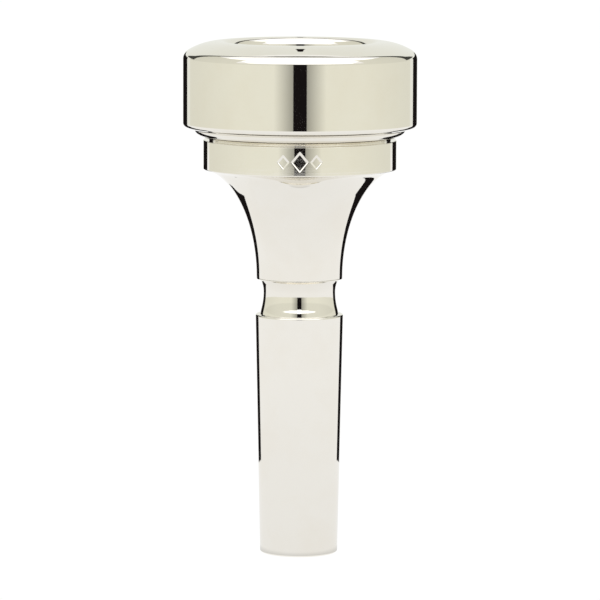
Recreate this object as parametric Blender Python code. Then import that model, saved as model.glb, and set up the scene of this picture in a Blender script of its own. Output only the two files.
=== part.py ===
"""Silver-plated brass mouthpiece of the three-piece kind, for a tenor horn.

The shank screws up into the cup and the rim screws down over it. Both threads are
right-handed, and a rubber ring seals each joint. The origin is the middle of the
shank's end face, +Z runs up through the bore to the rim, and units are metres.
"""
import math

import bpy

MM = 0.001
SEGMENTS = 32                 # facets round each turned piece

# Heights above the shank's end face, in millimetres
SHOULDER_Z = 31.5             # top of the tapered shank
NECK_WAIST_Z = 34.4           # narrowest place of the neck
COLLAR_Z = 36.3               # seat of the cup on the shank's collar
TENON_TOP_Z = 42.2            # end of the shank's threaded tenon
THROAT_Z = 46.5               # narrowest place of the bore
BOWL_Z = 48.0                 # bottom of the bowl
BAND_Z = (50.6, 54.35)        # lower and upper edge of the narrow band
SEAT_Z = 55.7                 # seat of the rim on the cup
SPIGOT_TOP_Z = 62.2           # end of the cup's threaded spigot
WALL_TOP_Z = 64.9             # where the ring's straight wall ends
CREST_Z = 67.2                # highest circle of the rim

# Radii, in millimetres
SHANK_END_R = 5.07
SHOULDER_R = 5.75
NECK_R = 4.71
COLLAR_R = 5.63
BACKBORE_R = 4.10             # bore at the shank's end
TENON_BORE_R = 2.48           # bore at the end of the tenon
THROAT_R = 2.40
BOWL_TOP_R = 8.98
FLARE_CENTRE_R = 13.0         # the flare's curve would reach this radius at the band
BAND_R = 12.6
COVE_R = 11.85                # bottom of the groove between band and flange
FLANGE_CENTRE_R = 10.4
FLANGE_R = 13.75
RING_R = 15.25
CREST_R = 10.4
BITE_R = 9.32                 # inner edge of the rim

# Curves: radii in millimetres, sweeps in degrees
NECK_ARC, NECK_SWEEP = 8.6, 14.5
FOOT_ARC, FOOT_SWEEP = 5.0, 6.0         # the neck steepens again just above the shoulder
FLARE_POWER, FLARE_END = 1.85, 85.5
BOWL_POWER = 1.8
FLANGE_SWEEP = 64
RING_FOOT_Z = 0.87                      # the ring's straight wall ends this far above its seat,
RING_FOOT_R = 0.54                      # rounds off with this radius
RING_FOOT_SLOPE = 20                    # and runs down to the seat at this slope
RIM_EDGE_R = 1.3
BITE_HEIGHT = 1.1

# Chamfers, in millimetres
END_CHAMFER = 0.2
EDGE_CHAMFER = 0.1
BAND_ROUNDING = 0.4
COLLAR_LAND = 0.1             # upright edge of the collar, above the curve up from the neck
FLANGE_LIFT = 0.1             # the flange's lowest curve clears the band by this

# Threads: (radius of the male thread's core, lowest height, highest height), in millimetres
PITCH = 1.0
THREAD_DEPTH = 0.45
THREAD_GAP = 0.2              # radial clearance between the two threads
ROWS_PER_PITCH = 6
TENON_THREAD = (3.45, 36.8, 41.5)
SPIGOT_THREAD = (11.15, 57.0, 61.4)
LEAD_IN = 0.2                 # chamfer at a threaded socket's mouth

SEAM = 0.1                    # gap between two seats that touch when screwed home
O_RING_GAP = 0.15             # a seal's clearance to the seats beside it

# Seals: (middle radius, section radius), in millimetres
SHANK_SEAL = (3.1, 0.4)
RIM_SEAL = (10.15, 0.5)

SILVER = (0.86, 0.84, 0.78, 1.0)
RUBBER = (0.03, 0.03, 0.03, 1.0)


def clear_scene():
    for obj in list(bpy.data.objects):
        bpy.data.objects.remove(obj, do_unlink=True)


def material(name, colour, roughness, metallic):
    result = bpy.data.materials.new(name)
    result.use_nodes = True
    shader = result.node_tree.nodes["Principled BSDF"]
    shader.inputs["Base Color"].default_value = colour
    shader.inputs["Roughness"].default_value = roughness
    shader.inputs["Metallic"].default_value = metallic
    return result


# Outlines: lists of (radius, height) that run anticlockwise round a solid's half section, with the
# radius to the right. A point on a thread is (radius, height, share of the full depth, male).

def arc(centre, radii, start, end, steps):
    """Points of an elliptical arc; angles in degrees."""
    angles = [math.radians(start + (end - start) * i / steps) for i in range(steps + 1)]
    return [(centre[0] + radii[0] * math.cos(a), centre[1] + radii[1] * math.sin(a)) for a in angles]


def thread(core, low, high, male):
    """Points along a thread, upwards for a male one and downwards for a female one."""
    radius = core if male else core + THREAD_GAP + THREAD_DEPTH
    steps = round((high - low) * ROWS_PER_PITCH / PITCH)
    points = []
    for i in range(steps + 1):
        height = low + (high - low) * i / steps
        run_out = min(height - low, high - height) / (PITCH / 2)
        points.append((radius, height, min(run_out, 1.0), male))
    return points if male else points[::-1]


def thread_height(height, angle, share, male):
    """How far the thread moves the surface out at one place; the crests climb with the angle."""
    crest = 0.5 + 0.5 * math.cos(math.tau * height / PITCH - angle)
    return THREAD_DEPTH * share * (crest if male else crest - 1.0)


def turned(name, outline, finish):
    """Closed solid turned about Z from an outline."""
    verts = []
    for radius, height, *on_thread in outline:
        for s in range(SEGMENTS):
            angle = math.tau * s / SEGMENTS
            here = radius + (thread_height(height, angle, *on_thread) if on_thread else 0.0)
            verts.append((here * math.cos(angle) * MM, here * math.sin(angle) * MM, height * MM))
    faces = []
    for row in range(len(outline)):
        above = (row + 1) % len(outline)
        for s in range(SEGMENTS):
            beside = (s + 1) % SEGMENTS
            faces.append((row * SEGMENTS + s, row * SEGMENTS + beside,
                          above * SEGMENTS + beside, above * SEGMENTS + s))
    mesh = bpy.data.meshes.new(name)
    mesh.from_pydata(verts, [], faces)
    mesh.materials.append(finish)
    mesh.shade_smooth()
    mesh.set_sharp_from_angle(angle=math.radians(30))
    obj = bpy.data.objects.new(name, mesh)
    bpy.context.collection.objects.link(obj)
    return obj


def neck():
    """From the shoulder up the hollow neck to the collar's edge."""
    points = arc((NECK_R + NECK_ARC, NECK_WAIST_Z), (NECK_ARC, NECK_ARC), 180 + NECK_SWEEP, 180, 4)
    sweep = math.radians(NECK_SWEEP)
    foot = (points[0][0] - FOOT_ARC * math.cos(sweep), points[0][1] - FOOT_ARC * math.sin(sweep))
    land = COLLAR_Z - COLLAR_LAND
    below = arc(foot, (FOOT_ARC, FOOT_ARC), FOOT_SWEEP, NECK_SWEEP, 2)
    above = arc((COLLAR_R, NECK_WAIST_Z), (COLLAR_R - NECK_R, land - NECK_WAIST_Z), 180, 90, 4)
    return [(below[0][0], SHOULDER_Z)] + below[1:-1] + points + above[1:]


def flare(steps):
    """The cup's outside from the shank's collar up to the band: a concave curve of powers."""
    low, high = COLLAR_Z + SEAM, BAND_Z[0]
    points = []
    for i in range(steps + 1):
        climb = math.sin(math.radians(FLARE_END * i / steps))
        inset = (1 - climb ** 2) ** (1 / FLARE_POWER)
        radius = FLARE_CENTRE_R - (FLARE_CENTRE_R - COLLAR_R) * inset
        points.append((radius, low + (high - low) * climb))
    return points


def bowl(steps):
    """The inside of the cup, from the top down to the throat."""
    points = []
    for i in range(steps + 1):
        height = 1 - i / steps
        radius = THROAT_R + (BOWL_TOP_R - THROAT_R) * (1 - (1 - height) ** BOWL_POWER)
        points.append((radius, BOWL_Z + (SPIGOT_TOP_Z - BOWL_Z) * height))
    return points


def band_and_flange():
    """The narrow band, the groove above it and the flange that carries the ring."""
    low, high = BAND_Z
    rounding = BAND_ROUNDING
    points = arc((BAND_R - rounding, low + rounding), (rounding, rounding), -90, 0, 3)
    points += [(BAND_R, high - EDGE_CHAMFER), (BAND_R - EDGE_CHAMFER, high), (COVE_R, high)]
    reach = (FLANGE_R - FLANGE_CENTRE_R, SEAT_Z - high - FLANGE_LIFT)
    return points + arc((FLANGE_CENTRE_R, SEAT_Z), reach, -FLANGE_SWEEP, 0, 5)


def rim_profile(seat):
    """The ring's outside from its foot up over the rounded edge and the crest to the bite."""
    across = RING_R - RIM_EDGE_R - CREST_R
    sweep = math.pi / 2 - 2 * math.atan2(CREST_Z - WALL_TOP_Z - RIM_EDGE_R, across)
    dome_r = across / math.cos(sweep) + RIM_EDGE_R
    sweep = math.degrees(sweep)
    points = arc((RING_R - RING_FOOT_R, seat + RING_FOOT_Z), (RING_FOOT_R, RING_FOOT_R),
                 RING_FOOT_SLOPE - 90, 0, 4)
    inward = (points[0][1] - seat) / math.tan(math.radians(RING_FOOT_SLOPE))
    points.insert(0, (points[0][0] - inward, seat))
    points += arc((RING_R - RIM_EDGE_R, WALL_TOP_Z), (RIM_EDGE_R, RIM_EDGE_R), 0, sweep, 4)
    points += arc((CREST_R, CREST_Z - dome_r), (dome_r, dome_r), sweep, 90, 5)[1:]
    points += arc((CREST_R, CREST_Z - BITE_HEIGHT), (CREST_R - BITE_R, BITE_HEIGHT), 90, 180, 5)[1:]
    return points


def make_shank(finish):
    core, low, high = TENON_THREAD
    outline = [(SHANK_END_R - END_CHAMFER, 0.0), (SHANK_END_R, END_CHAMFER)]
    outline += [(SHOULDER_R, SHOULDER_Z - EDGE_CHAMFER), (SHOULDER_R - EDGE_CHAMFER, SHOULDER_Z)]
    outline += neck() + [(COLLAR_R, COLLAR_Z), (core, COLLAR_Z)]
    outline += thread(core, low, high, True)
    outline += [(core - END_CHAMFER, TENON_TOP_Z), (TENON_BORE_R, TENON_TOP_Z), (BACKBORE_R, 0.0)]
    return turned("shank", outline, finish)


def make_cup(finish):
    core, low, high = SPIGOT_THREAD
    socket_r = TENON_THREAD[0] + THREAD_GAP + THREAD_DEPTH
    seat = COLLAR_Z + SEAM
    seal_top = TENON_TOP_Z + O_RING_GAP + 2 * SHANK_SEAL[1] + SEAM
    seal_r = SHANK_SEAL[0] + SHANK_SEAL[1] + SEAM
    outline = flare(9) + band_and_flange()
    outline += [(core, SEAT_Z)] + thread(core, low, high, True)
    outline += [(core - END_CHAMFER, SPIGOT_TOP_Z)] + bowl(8)
    outline += [(THROAT_R, THROAT_Z), (TENON_BORE_R, seal_top), (seal_r, seal_top)]
    outline += [(seal_r, TENON_TOP_Z + SEAM), (socket_r, TENON_TOP_Z + SEAM)]
    outline += thread(*TENON_THREAD, False)
    outline += [(socket_r, seat + LEAD_IN), (socket_r + LEAD_IN, seat)]
    return turned("cup", outline, finish)


def make_rim(finish):
    core, low, high = SPIGOT_THREAD
    root = core + THREAD_GAP + THREAD_DEPTH
    seat, top = SEAT_Z + SEAM, SPIGOT_TOP_Z + SEAM
    seal_low, seal_high = RIM_SEAL[0] - RIM_SEAL[1] - SEAM, RIM_SEAL[0] + RIM_SEAL[1] + SEAM
    seal_top = SPIGOT_TOP_Z + O_RING_GAP + 2 * RIM_SEAL[1] + SEAM
    outline = [(root + LEAD_IN, seat)] + rim_profile(seat)
    outline += [(BOWL_TOP_R, top), (seal_low, top), (seal_low, seal_top), (seal_high, seal_top)]
    outline += [(seal_high, top), (root, top)]
    outline += thread(core, low, high, False)
    outline += [(root, seat + LEAD_IN)]
    return turned("rim", outline, finish)


def make_seal(name, seal, seat_z, finish):
    middle, section = seal
    outline = arc((middle, seat_z + O_RING_GAP + section), (section, section), 0, 315, 7)
    return turned(name, outline, finish)


def main():
    clear_scene()
    silver = material("silver_plate", SILVER, 0.06, 1.0)
    rubber = material("seal_rubber", RUBBER, 0.6, 0.0)
    make_shank(silver)
    make_cup(silver)
    make_rim(silver)
    make_seal("shank_o_ring", SHANK_SEAL, TENON_TOP_Z, rubber)
    make_seal("rim_o_ring", RIM_SEAL, SPIGOT_TOP_Z, rubber)


main()
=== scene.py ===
"""Looks of the silver-plated three-piece mouthpiece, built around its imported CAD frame."""

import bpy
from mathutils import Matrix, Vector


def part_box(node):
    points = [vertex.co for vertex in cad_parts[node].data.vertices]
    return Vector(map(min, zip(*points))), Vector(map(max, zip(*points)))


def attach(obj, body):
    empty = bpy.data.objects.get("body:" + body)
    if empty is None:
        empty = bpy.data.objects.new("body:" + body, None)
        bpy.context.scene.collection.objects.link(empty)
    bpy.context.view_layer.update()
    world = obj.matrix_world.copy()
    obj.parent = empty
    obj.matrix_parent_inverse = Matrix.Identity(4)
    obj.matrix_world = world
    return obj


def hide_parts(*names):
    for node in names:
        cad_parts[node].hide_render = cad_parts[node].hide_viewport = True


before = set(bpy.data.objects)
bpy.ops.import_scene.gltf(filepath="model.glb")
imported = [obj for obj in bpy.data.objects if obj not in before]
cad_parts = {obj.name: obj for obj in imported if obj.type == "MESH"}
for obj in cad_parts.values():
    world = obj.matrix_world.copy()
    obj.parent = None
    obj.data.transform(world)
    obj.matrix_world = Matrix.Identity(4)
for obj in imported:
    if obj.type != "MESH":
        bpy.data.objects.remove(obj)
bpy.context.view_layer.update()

import math

import bpy
import numpy as np
from mathutils import Euler, Vector

MM = 0.001

# Places and radii in millimetres, as the frame has them
SHOULDER_Z = 31.5
COLLAR_Z = 36.3
TENON_TOP_Z = 42.2
THROAT_Z = 46.5
BOWL_Z = 48.0
BAND_Z = (50.6, 54.35)
SEAT_Z = 55.7
SPIGOT_TOP_Z = 62.2
WALL_TOP_Z = 64.9
CREST_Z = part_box("rim")[1].z / MM
SHANK_END_R = 5.07
SHOULDER_R = 5.75
NECK_R = 4.71
COLLAR_R = 5.63
BACKBORE_R = 4.10
TENON_BORE_R = 2.48
THROAT_R = 2.40
BOWL_TOP_R = 8.98
FLARE_CENTRE_R = 13.0
BAND_R = 12.6
FLANGE_CENTRE_R = 10.4
FLANGE_R = 13.75
RING_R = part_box("rim")[1].x / MM
CREST_R = 10.4
BITE_R = 9.32
SEAM = 0.1
SEAT_GAP = 0.012              # hairline between two seats that are screwed home
LEAD_IN = 0.2
O_RING_GAP = 0.15
SHANK_SEAL = (3.1, 0.4)
RIM_SEAL = (10.15, 0.5)

# Threads
PITCH = 1.0
THREAD_DEPTH = 0.45
THREAD_GAP = 0.2
CREST_SHARE, FLANK_SHARE = 0.2, 0.26   # of the pitch: the flat crest and each flank
TENON_THREAD = (3.45, 36.8, 41.5)
SPIGOT_THREAD = (11.15, 57.0, 61.4)
ROWS_PER_PITCH = 12

# Surfaces, which are also the numbers of the material slots
POLISH, BORE, THREAD = 0, 1, 2

# Curves
NECK_WAIST_Z = 34.4           # narrowest place of the neck
NECK_ARC, NECK_SWEEP = 8.6, 14.5
FOOT_ARC, FOOT_SWEEP = 5.0, 6.0
COLLAR_LAND = 0.1             # upright edge of the collar, above the curve up from the neck
COLLAR_LIP = 0.04             # flat between that curve and the collar's edge
RIM_EDGE_R = 1.3
RING_FOOT_Z, RING_FOOT_R, RING_FOOT_SLOPE = 0.87, 0.54, 20   # the ring's rounded, then coned, foot
COVE_R = 11.85                # bottom of the groove between band and flange
FLANGE_SWEEP = 64
FLANGE_LIFT = 0.1             # the flange's lowest curve clears the band by this
BAND_ROUNDING = 0.42
BITE_HEIGHT = 1.1
FLARE_STEPS, FLARE_POWER, FLARE_END = 42, 1.85, 85.5
BOWL_STEPS, BOWL_POWER = 28, 1.8

# Engraved mark: each lozenge is (place across, half width, half height)
MARK_LOZENGES = ((-2.15, 0.75, 0.9), (0.0, 1.1, 1.32), (2.15, 0.75, 0.9))
MARK_Z = 52.4
MARK_HALF_HEIGHT = 1.4
MARK_HALF_ANGLE = math.radians(13.5)
MARK_DEPTH = 0.09
MARK_WALL = 0.16              # share of a lozenge taken up by its sloping wall
MARK_COLUMNS, MARK_ROWS = 110, 56

SEGMENTS = 192                # columns round a turned piece
PLAIN_COLUMNS = 144           # columns round the cup outside its mark

# Studio, in metres and degrees, with azimuth 0 at the camera
FLOOR_HALF, TABLE_HALF, TABLE_Z = 3.0, 0.55, 0.0002
WALL_DISTANCE, LOW_WALL_AZIMUTHS, TALL_WALL_AZIMUTHS = 0.56, (6.5, 66), (66, 137)
FLAG_DISTANCE, FLAG_SPLIT_Z, FLAG_TOP_Z = 0.075, 0.041, 0.073
FLAG_AZIMUTHS = (133, 160)          # the lower part's, which the flare, neck and shank reflect
TALL_FLAG_AZIMUTHS = (136.2, 160)   # the upper part's, which the ring and band reflect
# The flare's card: its inner edge as (azimuth, radius), its outer radius and height, in millimetres
CATCH_EDGE = ((60, 9.1), (72, 9.4), (84, 9.8), (99, 10.7), (110, 12.0), (120, 13.4), (128, 14.8))
CATCH_OUTER_R, CATCH_Z = 17.0, 45.5
# Flat cards behind the object, in metres
DARK_CARD_DISTANCE, BACK_DISTANCE = 0.3, 0.5
COLUMN_CORNERS = ((0.17, 0.12), (0.384, 0.12), (0.384, 0.75), (0.26, 0.75), (0.26, 0.22))


# ---------------------------------------------------------------- outlines
# An outline is a list of points (radius, height, edge rounding, surface, thread share, male) that
# runs anticlockwise round the solid's half section, with the radius to the right.

def point(radius, height, edge=0.0, surface=POLISH, share=0.0, male=True):
    return (radius, height, edge, surface, share, male)


def arc(centre, radii, start, end, steps, surface=POLISH):
    """Points of an elliptical arc; angles in degrees."""
    angles = [math.radians(start + (end - start) * i / steps) for i in range(steps + 1)]
    return [point(centre[0] + radii[0] * math.cos(a), centre[1] + radii[1] * math.sin(a), 0, surface)
            for a in angles]


def fillet(before, corner, after, steps=4):
    """Points that round a corner by its edge rounding, or by less where its sides are short."""
    a, b, c = (Vector(p[:2]) for p in (before, corner, after))
    to_a, to_c = (a - b).normalized(), (c - b).normalized()
    half = to_a.angle(to_c) / 2
    if half > math.radians(88):
        return [corner]
    reach = min(corner[2] / math.tan(half), 0.45 * (a - b).length, 0.45 * (c - b).length)
    middle = b + (to_a + to_c).normalized() * (reach / math.cos(half))
    start, end = b + to_a * reach - middle, b + to_c * reach - middle
    turn = math.atan2(start.x * end.y - start.y * end.x, start.dot(end))
    points = []
    for i in range(steps + 1):
        cos, sin = math.cos(turn * i / steps), math.sin(turn * i / steps)
        points.append(point(middle.x + start.x * cos - start.y * sin,
                            middle.y + start.x * sin + start.y * cos, 0, *corner[3:]))
    return points


def rounded(corners):
    """The outline with every edge rounded by its own amount."""
    outline = []
    for i, corner in enumerate(corners):
        after = corners[(i + 1) % len(corners)]
        outline += fillet(corners[i - 1], corner, after) if corner[2] else [corner]
    return outline


def supported(outline, longest=0.9, close=0.03, shortest=0.55):
    """The outline with points added on its long straight stretches, so that they shade straight."""
    result = []
    for i, here in enumerate(outline):
        after = outline[(i + 1) % len(outline)]
        result.append(here)
        length = math.dist(here[:2], after[:2])
        if length < shortest:
            continue
        inner = max(1, round(length / longest))
        for t in [close / length] + [j / inner for j in range(1, inner)] + [1 - close / length]:
            result.append(point(here[0] + (after[0] - here[0]) * t, here[1] + (after[1] - here[1]) * t,
                                0, min(here[3], after[3])))
    return result


def thread(core, low, high, male):
    """Points along a thread, upwards for a male one and downwards for a female one."""
    steps = round((high - low) * ROWS_PER_PITCH / PITCH)
    radius = core if male else core + THREAD_GAP + THREAD_DEPTH
    points = []
    for i in range(steps + 1):
        height = low + (high - low) * i / steps
        share = min((height - low) / (PITCH / 2), (high - height) / (PITCH / 2), 1.0)
        points.append(point(radius, height, 0, THREAD, share, male))
    return points if male else points[::-1]


def flare():
    """The cup's outside from just above its seat on the collar up to the band."""
    low, high = COLLAR_Z + SEAT_GAP, BAND_Z[0]
    points = []
    for i in range(2, FLARE_STEPS + 1):
        climb = math.sin(math.radians(FLARE_END * i / FLARE_STEPS))
        inset = (1 - climb ** 2) ** (1 / FLARE_POWER)
        points.append(point(FLARE_CENTRE_R - (FLARE_CENTRE_R - COLLAR_R) * inset,
                            low + (high - low) * climb))
    return points


def bowl():
    """The inside of the cup, from below its top edge down to the throat."""
    points = []
    for i in range(1, BOWL_STEPS + 1):
        height = 1 - i / BOWL_STEPS
        radius = THROAT_R + (BOWL_TOP_R - THROAT_R) * (1 - (1 - height) ** BOWL_POWER)
        points.append(point(radius, BOWL_Z + (SPIGOT_TOP_Z - BOWL_Z) * height, 0, BORE))
    return points


def shank_outline():
    core, low, high = TENON_THREAD
    outline = [point(SHANK_END_R, 0, 0.28), point(SHOULDER_R, SHOULDER_Z, 0.2)]
    neck = arc((NECK_R + NECK_ARC, NECK_WAIST_Z), (NECK_ARC, NECK_ARC), 180 + NECK_SWEEP, 180, 24)
    sweep = math.radians(NECK_SWEEP)
    foot = (neck[0][0] - FOOT_ARC * math.cos(sweep), neck[0][1] - FOOT_ARC * math.sin(sweep))
    below = arc(foot, (FOOT_ARC, FOOT_ARC), FOOT_SWEEP, NECK_SWEEP, 8)
    outline += [point(below[0][0], SHOULDER_Z, 0.06)] + below[1:-1] + neck
    land = COLLAR_Z - COLLAR_LAND
    lip = COLLAR_R - COLLAR_LIP
    outline += arc((lip, NECK_WAIST_Z), (lip - NECK_R, land - NECK_WAIST_Z), 180, 90, 20)[1:]
    outline += [point(COLLAR_R, land, 0.03), point(COLLAR_R, COLLAR_Z, 0.03)]
    outline += [point(core, COLLAR_Z, 0.1, THREAD)]
    outline += thread(core, low, high, True)
    outline += [point(core, high + 0.2, 0, THREAD), point(core - 0.25, TENON_TOP_Z, 0.05, THREAD)]
    outline += [point(TENON_BORE_R, TENON_TOP_Z, 0.08, BORE), point(BACKBORE_R, 0, 0.1, BORE)]
    return outline


def cup_outline():
    core, low, high = SPIGOT_THREAD
    root = TENON_THREAD[0] + THREAD_GAP + THREAD_DEPTH
    seat = COLLAR_Z + SEAT_GAP
    seal_top = TENON_TOP_Z + O_RING_GAP + 2 * SHANK_SEAL[1] + SEAM
    seal_r = SHANK_SEAL[0] + SHANK_SEAL[1] + SEAM
    outline = [point(COLLAR_R, seat, 0.03)] + flare()
    outline += [point(BAND_R, BAND_Z[0], BAND_ROUNDING), point(BAND_R, BAND_Z[1], 0.08)]
    outline += [point(COVE_R, BAND_Z[1], 0.2)]
    outline += arc((FLANGE_CENTRE_R, SEAT_Z), (FLANGE_R - FLANGE_CENTRE_R, SEAT_Z - BAND_Z[1] - FLANGE_LIFT),
                   -FLANGE_SWEEP, 0, 14)
    outline += [point(core, SEAT_Z, 0.1, THREAD)]
    outline += thread(core, low, high, True)
    outline += [point(core, high + 0.2, 0, THREAD), point(core - 0.3, SPIGOT_TOP_Z, 0.08, THREAD)]
    outline += [point(BOWL_TOP_R, SPIGOT_TOP_Z, 0.05, BORE)] + bowl()
    outline += [point(THROAT_R, THROAT_Z, 0, BORE), point(TENON_BORE_R, seal_top, 0.05, BORE)]
    outline += [point(seal_r, seal_top, 0.05, THREAD), point(seal_r, TENON_TOP_Z + SEAM, 0.05, THREAD)]
    outline += [point(root, TENON_TOP_Z + SEAM, 0.1, THREAD)]
    outline += thread(*TENON_THREAD, False)
    outline += [point(root, seat + LEAD_IN, 0.05, THREAD), point(root + LEAD_IN, seat, 0.05)]
    return outline


def rim_outline():
    core, low, high = SPIGOT_THREAD
    root = core + THREAD_GAP + THREAD_DEPTH
    seat, top = SEAT_Z + SEAT_GAP, SPIGOT_TOP_Z + SEAM
    groove = (RIM_SEAL[0] - RIM_SEAL[1] - SEAM, RIM_SEAL[0] + RIM_SEAL[1] + SEAM)
    seal_top = SPIGOT_TOP_Z + O_RING_GAP + 2 * RIM_SEAL[1] + SEAM
    foot = arc((RING_R - RING_FOOT_R, seat + RING_FOOT_Z), (RING_FOOT_R, RING_FOOT_R),
               RING_FOOT_SLOPE - 90, 0, 14)
    inward = (foot[0][1] - seat) / math.tan(math.radians(RING_FOOT_SLOPE))
    outline = [point(root + LEAD_IN, seat, 0.05), point(foot[0][0] - inward, seat, 0.02)] + foot
    across = RING_R - RIM_EDGE_R - CREST_R
    sweep = math.pi / 2 - 2 * math.atan2(CREST_Z - WALL_TOP_Z - RIM_EDGE_R, across)
    dome_r = across / math.cos(sweep) + RIM_EDGE_R
    sweep = math.degrees(sweep)
    outline += arc((RING_R - RIM_EDGE_R, WALL_TOP_Z), (RIM_EDGE_R, RIM_EDGE_R), 0, sweep, 16)
    outline += arc((CREST_R, CREST_Z - dome_r), (dome_r, dome_r), sweep, 90, 24)[1:]
    outline += arc((CREST_R, CREST_Z - BITE_HEIGHT), (CREST_R - BITE_R, BITE_HEIGHT), 90, 180, 20)[1:]
    outline += [point(BOWL_TOP_R + 0.02, top, 0.04, BORE), point(groove[0], top, 0.04, THREAD)]
    outline += [point(groove[0], seal_top, 0.1, THREAD), point(groove[1], seal_top, 0.1, THREAD)]
    outline += [point(groove[1], top, 0.04, THREAD), point(root, top, 0.1, THREAD)]
    outline += thread(core, low, high, False)
    outline += [point(root, seat + LEAD_IN, 0.05, THREAD)]
    return outline


def seal_outline(seal, seat_z):
    middle, section = seal
    return arc((middle, seat_z + O_RING_GAP + section), (section, section), 0, 350, 35)


# ---------------------------------------------------------------- meshes

def thread_crest(height, angles):
    """1 on the crest of the thread and 0 in its root, with straight 60 degree flanks between."""
    phase = (height / PITCH - angles / math.tau) % 1.0
    from_crest = 2 * np.abs(phase - 0.5)
    return np.clip((CREST_SHARE + 2 * FLANK_SHARE - from_crest) / (2 * FLANK_SHARE), 0.0, 1.0)


def mark_depth(height, angles):
    """Depth of the engraved mark on the band: a lozenge between two smaller ones."""
    across = (angles + math.pi / 2) * BAND_R
    depth = np.zeros_like(across)
    for centre, half_width, half_height in MARK_LOZENGES:
        inside = 1 - np.abs(across - centre) / half_width - abs(height - MARK_Z) / half_height
        depth = np.maximum(depth, np.clip(inside / MARK_WALL, 0, 1))
    return depth * MARK_DEPTH


def even_columns():
    return np.arange(SEGMENTS) * math.tau / SEGMENTS


def columns_with_mark():
    """Angles of the columns, closer together across the mark, which faces -Y."""
    front = -math.pi / 2
    fine = np.linspace(front - MARK_HALF_ANGLE, front + MARK_HALF_ANGLE, MARK_COLUMNS + 1)
    rest = np.linspace(front + MARK_HALF_ANGLE, front + math.tau - MARK_HALF_ANGLE, PLAIN_COLUMNS)
    return np.concatenate([fine, rest[1:-1]])


def on_band(radius):
    """Whether a radius in millimetres is the band's own."""
    return abs(radius - BAND_R) < 0.002


def mark_rows(outline):
    """The outline with close points across the mark in place of the band's own."""
    low, high = MARK_Z - MARK_HALF_HEIGHT, MARK_Z + MARK_HALF_HEIGHT
    replaced = [p for p in outline if on_band(p[0]) and low < p[1] < high]
    at = outline.index(replaced[0])
    kept = [p for p in outline if p not in replaced]
    close = [point(BAND_R, low + (high - low) * i / MARK_ROWS) for i in range(MARK_ROWS + 1)]
    return kept[:at] + close + kept[at:]


def turned(name, outline, columns, engraved=False):
    """Closed mesh turned about Z from an outline."""
    count = len(columns)
    rows = []
    for radius, height, _, _, share, male in outline:
        crest = thread_crest(height, columns)
        radii = radius + THREAD_DEPTH * share * (crest if male else crest - 1)
        if engraved and on_band(radius):
            radii = radii - mark_depth(height, columns)
        rows.append(np.stack([radii * np.cos(columns), radii * np.sin(columns),
                              np.full(count, height)], 1))
    here = np.arange(len(outline))[:, None] * count + np.arange(count)[None, :]
    above, beside = np.roll(here, -1, 0), np.roll(here, -1, 1)
    faces = np.stack([here, beside, np.roll(above, -1, 1), above], 2).reshape(-1, 4)
    mesh = bpy.data.meshes.new(name)
    mesh.from_pydata((np.concatenate(rows) * MM).tolist(), [], faces.tolist())
    surfaces = [max(p[3], after[3]) for p, after in zip(outline, outline[1:] + outline[:1])]
    mesh.polygons.foreach_set("material_index", np.repeat(np.array(surfaces, np.int32), count))
    mesh.shade_smooth()
    obj = bpy.data.objects.new(name, mesh)
    bpy.context.scene.collection.objects.link(obj)
    return obj


# ---------------------------------------------------------------- materials

def tree_of(material):
    material.use_nodes = True
    return material.node_tree


def link(tree, source, target):
    tree.links.new(source, target)


def node(tree, kind, **values):
    """A new node with its properties and its inputs' values set by name."""
    result = tree.nodes.new(kind)
    for name, value in values.items():
        if name in result.inputs:
            result.inputs[name].default_value = value
        else:
            setattr(result, name, value)
    return result


def silver(name, colour, worn, roughness, turning):
    """Silver plate: colour clouded towards worn, fine turning marks round the axis, faint smears."""
    material = bpy.data.materials.new(name)
    tree = tree_of(material)
    shader = tree.nodes["Principled BSDF"]
    shader.inputs["Metallic"].default_value = 1.0
    place = node(tree, "ShaderNodeTexCoord")

    cloud = node(tree, "ShaderNodeTexNoise", Scale=130.0, Detail=4.0, Roughness=0.6)
    link(tree, place.outputs["Object"], cloud.inputs["Vector"])
    tint = node(tree, "ShaderNodeMapRange")
    tint.inputs["From Min"].default_value = 0.45
    tint.inputs["From Max"].default_value = 0.75
    link(tree, cloud.outputs["Fac"], tint.inputs["Value"])
    blend = node(tree, "ShaderNodeMix", data_type="RGBA")
    blend.inputs["A"].default_value = colour
    blend.inputs["B"].default_value = worn
    link(tree, tint.outputs["Result"], blend.inputs["Factor"])
    link(tree, blend.outputs["Result"], shader.inputs["Base Color"])

    smear = node(tree, "ShaderNodeTexNoise", Scale=420.0, Detail=6.0, Roughness=0.65)
    link(tree, place.outputs["Object"], smear.inputs["Vector"])
    rough = node(tree, "ShaderNodeMapRange")
    rough.inputs["From Min"].default_value = 0.35
    rough.inputs["From Max"].default_value = 0.7
    rough.inputs["To Min"].default_value = roughness[0]
    rough.inputs["To Max"].default_value = roughness[1]
    link(tree, smear.outputs["Fac"], rough.inputs["Value"])
    link(tree, rough.outputs["Result"], shader.inputs["Roughness"])

    squeeze = node(tree, "ShaderNodeMapping")
    squeeze.inputs["Scale"].default_value = (60.0, 60.0, 14000.0)
    link(tree, place.outputs["Object"], squeeze.inputs["Vector"])
    lines = node(tree, "ShaderNodeTexNoise", Scale=1.0, Detail=3.0)
    link(tree, squeeze.outputs["Vector"], lines.inputs["Vector"])
    bump = node(tree, "ShaderNodeBump", Strength=turning, Distance=0.000004)
    link(tree, lines.outputs["Fac"], bump.inputs["Height"])
    link(tree, bump.outputs["Normal"], shader.inputs["Normal"])
    return material


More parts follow.
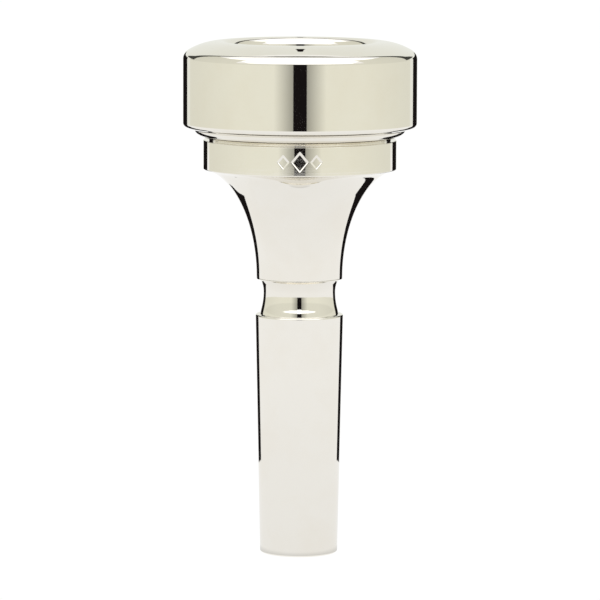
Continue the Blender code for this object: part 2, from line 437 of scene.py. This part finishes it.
def rubber():
    """Moulded black rubber with a fine grain."""
    material = bpy.data.materials.new("seal_rubber_look")
    tree = tree_of(material)
    shader = tree.nodes["Principled BSDF"]
    shader.inputs["Specular IOR Level"].default_value = 0.35
    place = node(tree, "ShaderNodeTexCoord")
    grain = node(tree, "ShaderNodeTexNoise", Scale=9000.0, Detail=3.0)
    link(tree, place.outputs["Object"], grain.inputs["Vector"])
    shade = node(tree, "ShaderNodeValToRGB")
    shade.color_ramp.elements[0].color = (0.012, 0.012, 0.013, 1)
    shade.color_ramp.elements[1].color = (0.04, 0.04, 0.042, 1)
    link(tree, grain.outputs["Fac"], shade.inputs["Fac"])
    link(tree, shade.outputs["Color"], shader.inputs["Base Color"])
    rough = node(tree, "ShaderNodeMapRange")
    rough.inputs["To Min"].default_value = 0.45
    rough.inputs["To Max"].default_value = 0.7
    link(tree, grain.outputs["Fac"], rough.inputs["Value"])
    link(tree, rough.outputs["Result"], shader.inputs["Roughness"])
    bump = node(tree, "ShaderNodeBump", Strength=0.4, Distance=0.00002)
    link(tree, grain.outputs["Fac"], bump.inputs["Height"])
    link(tree, bump.outputs["Normal"], shader.inputs["Normal"])
    return material


# ---------------------------------------------------------------- pieces

def place_piece(obj, materials, body, cad_node):
    for material in materials:
        obj.data.materials.append(material)
    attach(obj, body)
    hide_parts(cad_node)


def make_pieces():
    polish = silver("silver_polish", (0.87, 0.845, 0.785, 1), (0.85, 0.815, 0.74, 1), (0.02, 0.045), 0.15)
    bore = silver("silver_bore", (0.86, 0.83, 0.76, 1), (0.8, 0.76, 0.67, 1), (0.06, 0.14), 0.4)
    screw = silver("silver_thread", (0.82, 0.78, 0.7, 1), (0.7, 0.64, 0.52, 1), (0.16, 0.32), 0.8)
    plate = [polish, bore, screw]
    shank = turned("shank_turned", supported(rounded(shank_outline())), even_columns())
    cup = turned("cup_turned", mark_rows(supported(rounded(cup_outline()))), columns_with_mark(), True)
    rim = turned("rim_turned", supported(rounded(rim_outline())), even_columns())
    place_piece(shank, plate, "shank", "shank")
    place_piece(cup, plate, "cup", "cup")
    place_piece(rim, plate, "rim", "rim")
    seals = [rubber()]
    lower = turned("shank_seal_ring", seal_outline(SHANK_SEAL, TENON_TOP_Z), even_columns())
    upper = turned("rim_seal_ring", seal_outline(RIM_SEAL, SPIGOT_TOP_Z), even_columns())
    place_piece(lower, seals, "shank_seal", "shank_o_ring")
    place_piece(upper, seals, "rim_seal", "rim_o_ring")


# ---------------------------------------------------------------- studio

def glow(name, colour, strength):
    """A material that is evenly bright from every side."""
    material = bpy.data.materials.new(name)
    tree = tree_of(material)
    tree.nodes.clear()
    light = node(tree, "ShaderNodeEmission", Color=colour, Strength=strength)
    output = node(tree, "ShaderNodeOutputMaterial")
    link(tree, light.outputs["Emission"], output.inputs["Surface"])
    return material


def stage_mesh(name, verts, faces, material, seen):
    mesh = bpy.data.meshes.new(name)
    mesh.from_pydata(verts, [], faces)
    mesh.materials.append(material)
    obj = bpy.data.objects.new(name, mesh)
    bpy.context.scene.collection.objects.link(obj)
    obj.visible_camera = seen
    obj.visible_shadow = seen
    return obj


def curved_card(name, distance, azimuths, heights, material, steps=24):
    """A card bent round the object at a distance, between two azimuths in degrees, 0 at the camera."""
    verts, faces = [], []
    for i in range(steps + 1):
        azimuth = math.radians(azimuths[0] + (azimuths[1] - azimuths[0]) * i / steps)
        x, y = distance * math.sin(azimuth), -distance * math.cos(azimuth)
        verts += [(x, y, heights[0]), (x, y, heights[1])]
    for i in range(steps):
        faces.append((2 * i, 2 * i + 2, 2 * i + 3, 2 * i + 1))
    return stage_mesh(name, verts, faces, material, False)


def back_card(name, distance, corners, material):
    """A flat upright card behind the object, with corners (across, height)."""
    verts = [(x, distance, z) for x, z in corners]
    return stage_mesh(name, verts, [tuple(range(len(verts)))], material, False)


def flare_catch(material):
    """A small level card beside the flare that gives its left dark stripe a pointed top."""
    verts, faces = [], []
    for azimuth, radius in CATCH_EDGE:
        side = math.radians(-azimuth)
        verts += [(r * MM * math.sin(side), -r * MM * math.cos(side), CATCH_Z * MM)
                  for r in (radius, CATCH_OUTER_R)]
    for i in range(len(CATCH_EDGE) - 1):
        faces.append((2 * i, 2 * i + 2, 2 * i + 3, 2 * i + 1))
    return stage_mesh("flare_catch", verts, faces, material, False)


def centred(half_width, heights):
    """Corners of an upright rectangle that reaches as far to the left as to the right."""
    low, high = heights
    return [(-half_width, low), (half_width, low), (half_width, high), (-half_width, high)]


def arched_softbox(name, distance, pitches, half_width, material, centre_z=0.05, steps=24):
    """A light that arches from in front of the object over it, between two pitches in degrees."""
    verts, faces = [], []
    for i in range(steps + 1):
        pitch = math.radians(pitches[0] + (pitches[1] - pitches[0]) * i / steps)
        for j in range(steps + 1):
            side = math.radians(half_width * (2 * j / steps - 1))
            verts.append((distance * math.sin(side), -distance * math.cos(side) * math.cos(pitch),
                          centre_z + distance * math.cos(side) * math.sin(pitch)))
    row = steps + 1
    for i in range(steps):
        for j in range(steps):
            at = i * row + j
            faces.append((at, at + 1, at + 1 + row, at + row))
    return stage_mesh(name, verts, faces, material, False)


def ramp(tree, value, start, end):
    """A Map Range node from start = (value, result) to end = (value, result)."""
    result = node(tree, "ShaderNodeMapRange")
    result.inputs["From Min"].default_value, result.inputs["To Min"].default_value = start
    result.inputs["From Max"].default_value, result.inputs["To Max"].default_value = end
    link(tree, value, result.inputs["Value"])
    return result.outputs["Result"]


def wall_glow(name, colour):
    """Cream light that dims towards the slot at the camera, higher up and behind the object."""
    material = glow(name, colour, 1.0)
    tree = material.node_tree
    light = next(n for n in tree.nodes if n.type == "EMISSION")
    place = node(tree, "ShaderNodeTexCoord")
    split = node(tree, "ShaderNodeSeparateXYZ")
    link(tree, place.outputs["Object"], split.inputs["Vector"])
    aside = node(tree, "ShaderNodeMath", operation="ABSOLUTE")
    link(tree, split.outputs["X"], aside.inputs[0])
    ahead = node(tree, "ShaderNodeMath", operation="MULTIPLY")
    link(tree, ramp(tree, aside.outputs[0], (0.06, 0.42), (0.24, 1.0)), ahead.inputs[0])
    link(tree, ramp(tree, split.outputs["Z"], (0.08, 1.0), (0.1, 0.91)), ahead.inputs[1])
    behind = node(tree, "ShaderNodeMath", operation="MULTIPLY")
    link(tree, ahead.outputs[0], behind.inputs[0])
    link(tree, ramp(tree, split.outputs["Y"], (-0.28, 1.0), (0.36, 0.9)), behind.inputs[1])
    link(tree, behind.outputs[0], light.inputs["Strength"])
    return material


def table_glow_with_painted_shadow():
    """White light with a painted shadow of the object: a little dimmer close to the object, darkest round
    the shank's end.
    """
    material = glow("studio_table_painted_shadow", (1, 1, 1, 1), 1.0)
    tree = material.node_tree
    light = next(n for n in tree.nodes if n.type == "EMISSION")
    place = node(tree, "ShaderNodeTexCoord")
    length = node(tree, "ShaderNodeVectorMath", operation="LENGTH")
    link(tree, place.outputs["Object"], length.inputs[0])
    # Painted shadow of the object on the table: dimmed to 0.8 round the shank's end, up to full by 7.5 mm,
    # and gently dimmer out to 15 cm
    painted_shadow_strength = node(tree, "ShaderNodeMath", operation="MULTIPLY")
    link(tree, ramp(tree, length.outputs["Value"], (0.0052, 0.8), (0.0075, 1.0)), painted_shadow_strength.inputs[0])
    link(tree, ramp(tree, length.outputs["Value"], (0.0, 0.92), (0.15, 0.972)), painted_shadow_strength.inputs[1])
    link(tree, painted_shadow_strength.outputs[0], light.inputs["Strength"])
    return material


def make_studio():
    white = glow("studio_white", (1, 1, 1, 1), 1.02)
    cream = wall_glow("studio_cream", (0.885, 0.88, 0.775, 1))
    back = glow("studio_back", (0.86, 0.87, 0.82, 1), 1.0)
    dark = glow("studio_dark", (1, 1, 0.9, 1), 0.06)
    soft = glow("studio_soft", (1, 1, 1, 1), 0.95)
    grey = glow("studio_grey", (1, 1, 0.95, 1), 0.3)
    black = glow("studio_black", (1, 0.8, 0.85, 1), 0.009)
    bright = glow("studio_bright", (1, 1, 1, 1), 1.5)
    for name, half, z, material, seen in (("floor", FLOOR_HALF, 0, white, True),
                                          ("table", TABLE_HALF, TABLE_Z, table_glow_with_painted_shadow(), False)):
        corners = [(-half, -half, z), (half, -half, z), (half, half, z), (-half, half, z)]
        stage_mesh(name, corners, [(0, 1, 2, 3)], material, seen)
    for name, way in (("right", 1), ("left", -1)):
        curved_card("wall_" + name, WALL_DISTANCE, [a * way for a in LOW_WALL_AZIMUTHS], (0, 0.22), cream)
        curved_card("tall_wall_" + name, WALL_DISTANCE, [a * way for a in TALL_WALL_AZIMUTHS],
                    (0, 0.64), cream)
        curved_card("flag_" + name, FLAG_DISTANCE, [a * way for a in FLAG_AZIMUTHS],
                    (0, FLAG_SPLIT_Z), black)
        curved_card("tall_flag_" + name, FLAG_DISTANCE, [a * way for a in TALL_FLAG_AZIMUTHS],
                    (FLAG_SPLIT_Z, FLAG_TOP_Z), black)
        back_card("column_" + name, DARK_CARD_DISTANCE, [(x * way, z) for x, z in COLUMN_CORNERS], dark)
    flare_catch(soft)
    back_card("lintel", DARK_CARD_DISTANCE, centred(0.384, (0.68, 1.2)), grey)
    back_card("bar", DARK_CARD_DISTANCE, centred(0.004, (0.27, 0.4)), black)
    back_card("back", BACK_DISTANCE, centred(0.8, (0, 0.9)), back)
    curved_card("camera_side", 0.57, (-8, 8), (0, 0.21), black)
    arched_softbox("softbox", 0.9, (12, 105), 50, bright)
    world = bpy.data.worlds.new("studio")
    bpy.context.scene.world = world
    tree = tree_of(world)
    tree.nodes["Background"].inputs["Color"].default_value = (1, 1, 1, 1)
    tree.nodes["Background"].inputs["Strength"].default_value = 1.02


def make_camera():
    """Long lens, a little above the object and looking slightly down at it."""
    distance, pitch, roll = 0.593, math.radians(6.6), math.radians(0.19)
    target = Vector((0.00008, 0, 0.0333))
    data = bpy.data.cameras.new("camera")
    data.lens = 271.7
    data.sensor_width = 36.0
    data.clip_start = 0.05
    camera = bpy.data.objects.new("camera", data)
    camera.location = target + Vector((0, -distance * math.cos(pitch), distance * math.sin(pitch)))
    turn = Euler((math.pi / 2 - pitch, 0, 0)).to_matrix() @ Euler((0, 0, roll)).to_matrix()
    camera.rotation_euler = turn.to_euler()
    bpy.context.scene.collection.objects.link(camera)
    bpy.context.scene.camera = camera


make_pieces()
make_studio()
make_camera()
bpy.context.scene.view_settings.view_transform = "Standard"
